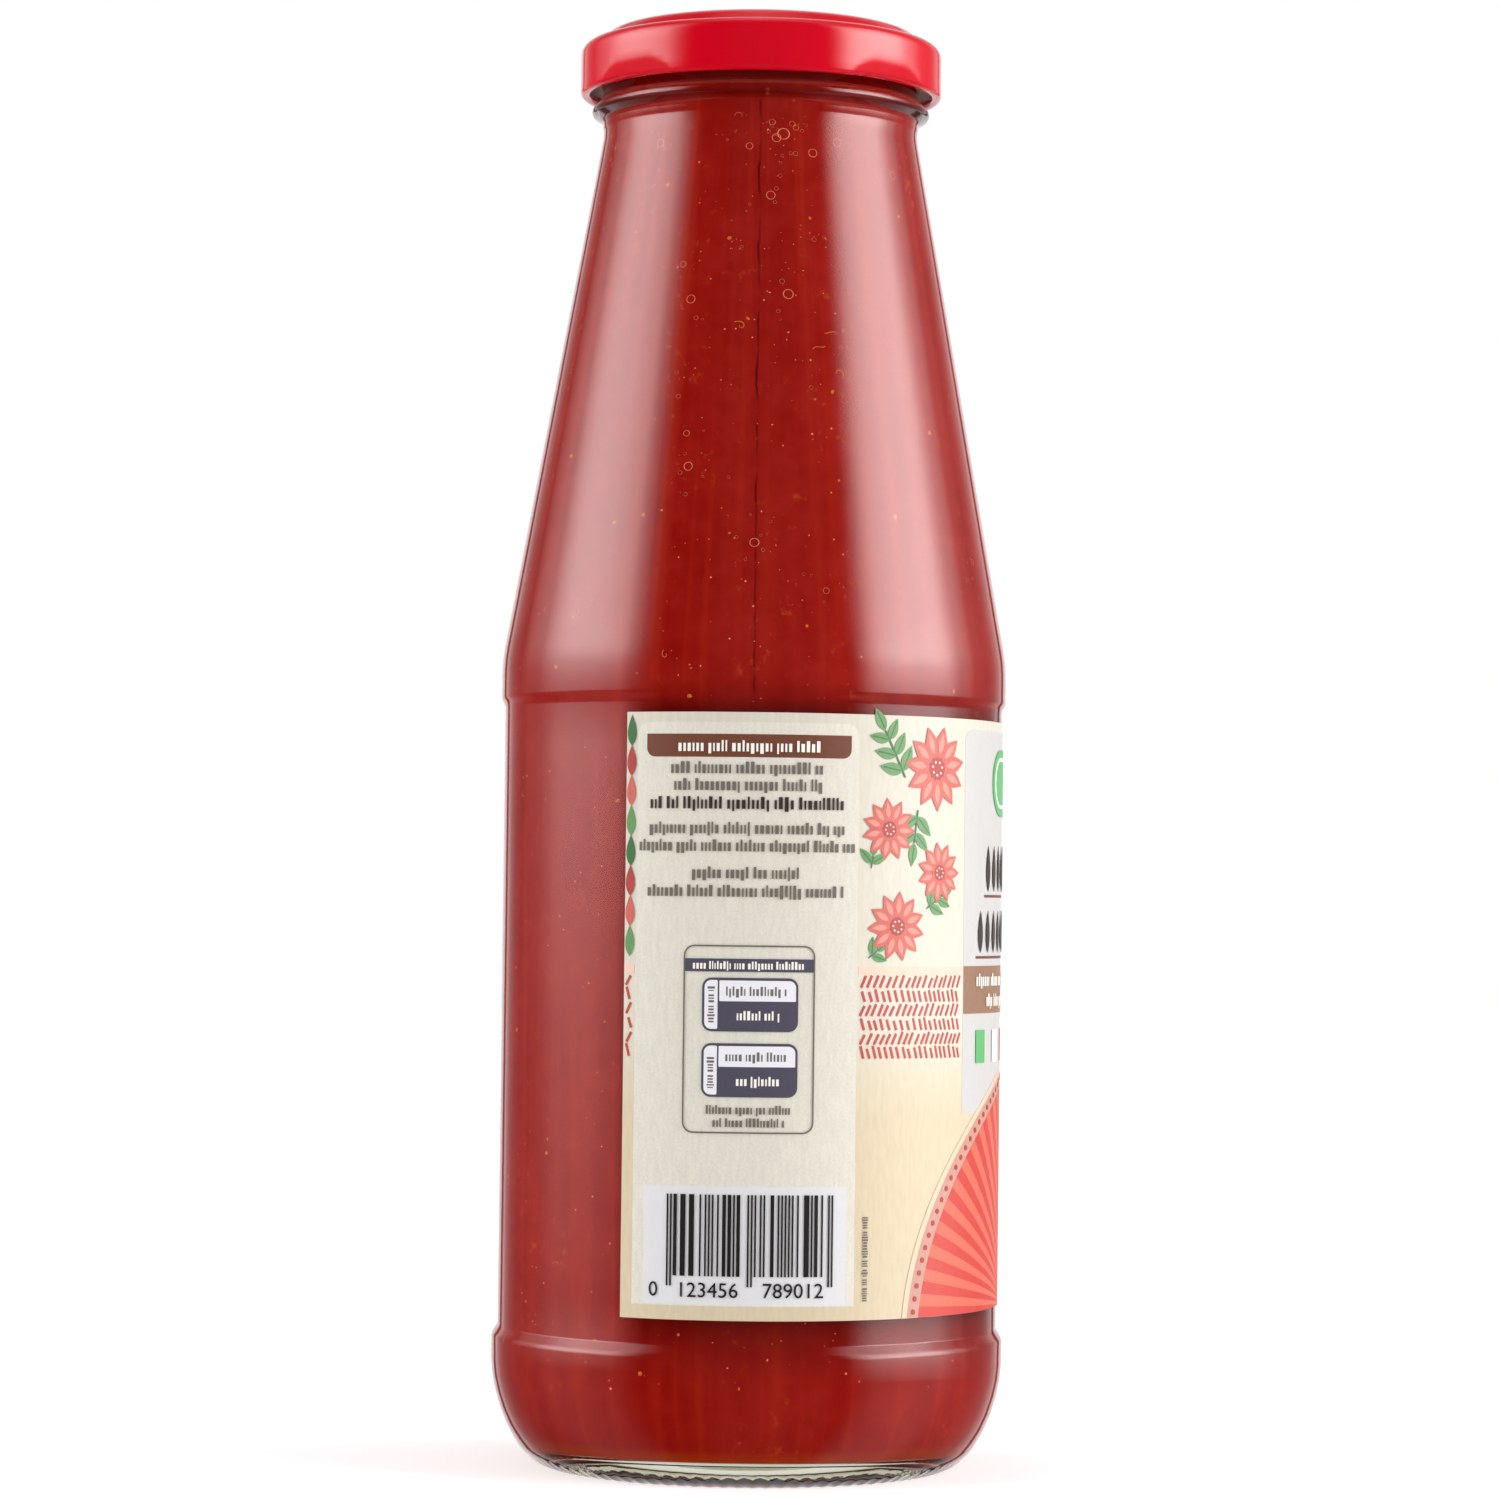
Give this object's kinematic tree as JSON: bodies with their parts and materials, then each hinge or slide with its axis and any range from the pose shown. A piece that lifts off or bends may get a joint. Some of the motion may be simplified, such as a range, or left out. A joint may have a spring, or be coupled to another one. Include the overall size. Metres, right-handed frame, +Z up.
{
  "type": "glass bottle of tomato pulp",
  "caption": "Tall cone-shouldered glass bottle filled with tomato pulp, with a paper label round its straight panel and a red twist-off metal cap.",
  "frame": {"origin": "middle of the bearing ring under the base, on the surface the bottle stands on", "axes": "+Z up along the bottle's axis to the cap; the label's first edge and its text panel face -Y, and the label runs on round the +X side"},
  "size_m": [0.0786, 0.0786, 0.2223],
  "materials": {
    "glass": "clear flint glass with a faint green edge, smooth and glossy",
    "pulp": "opaque deep red tomato pulp, wet against the glass, with fine fibres, seeds and small bubbles",
    "cap": "glossy bright red lacquer on tinplate",
    "seal": "soft pale sealing compound",
    "label": "semi-gloss printed paper, cream with a beige text panel"
  },
  "bodies": {
    "root": {"bottle": "glass", "pulp": "pulp", "cap": "cap", "seal": "seal", "label": "label"}
  },
  "joints": []
}
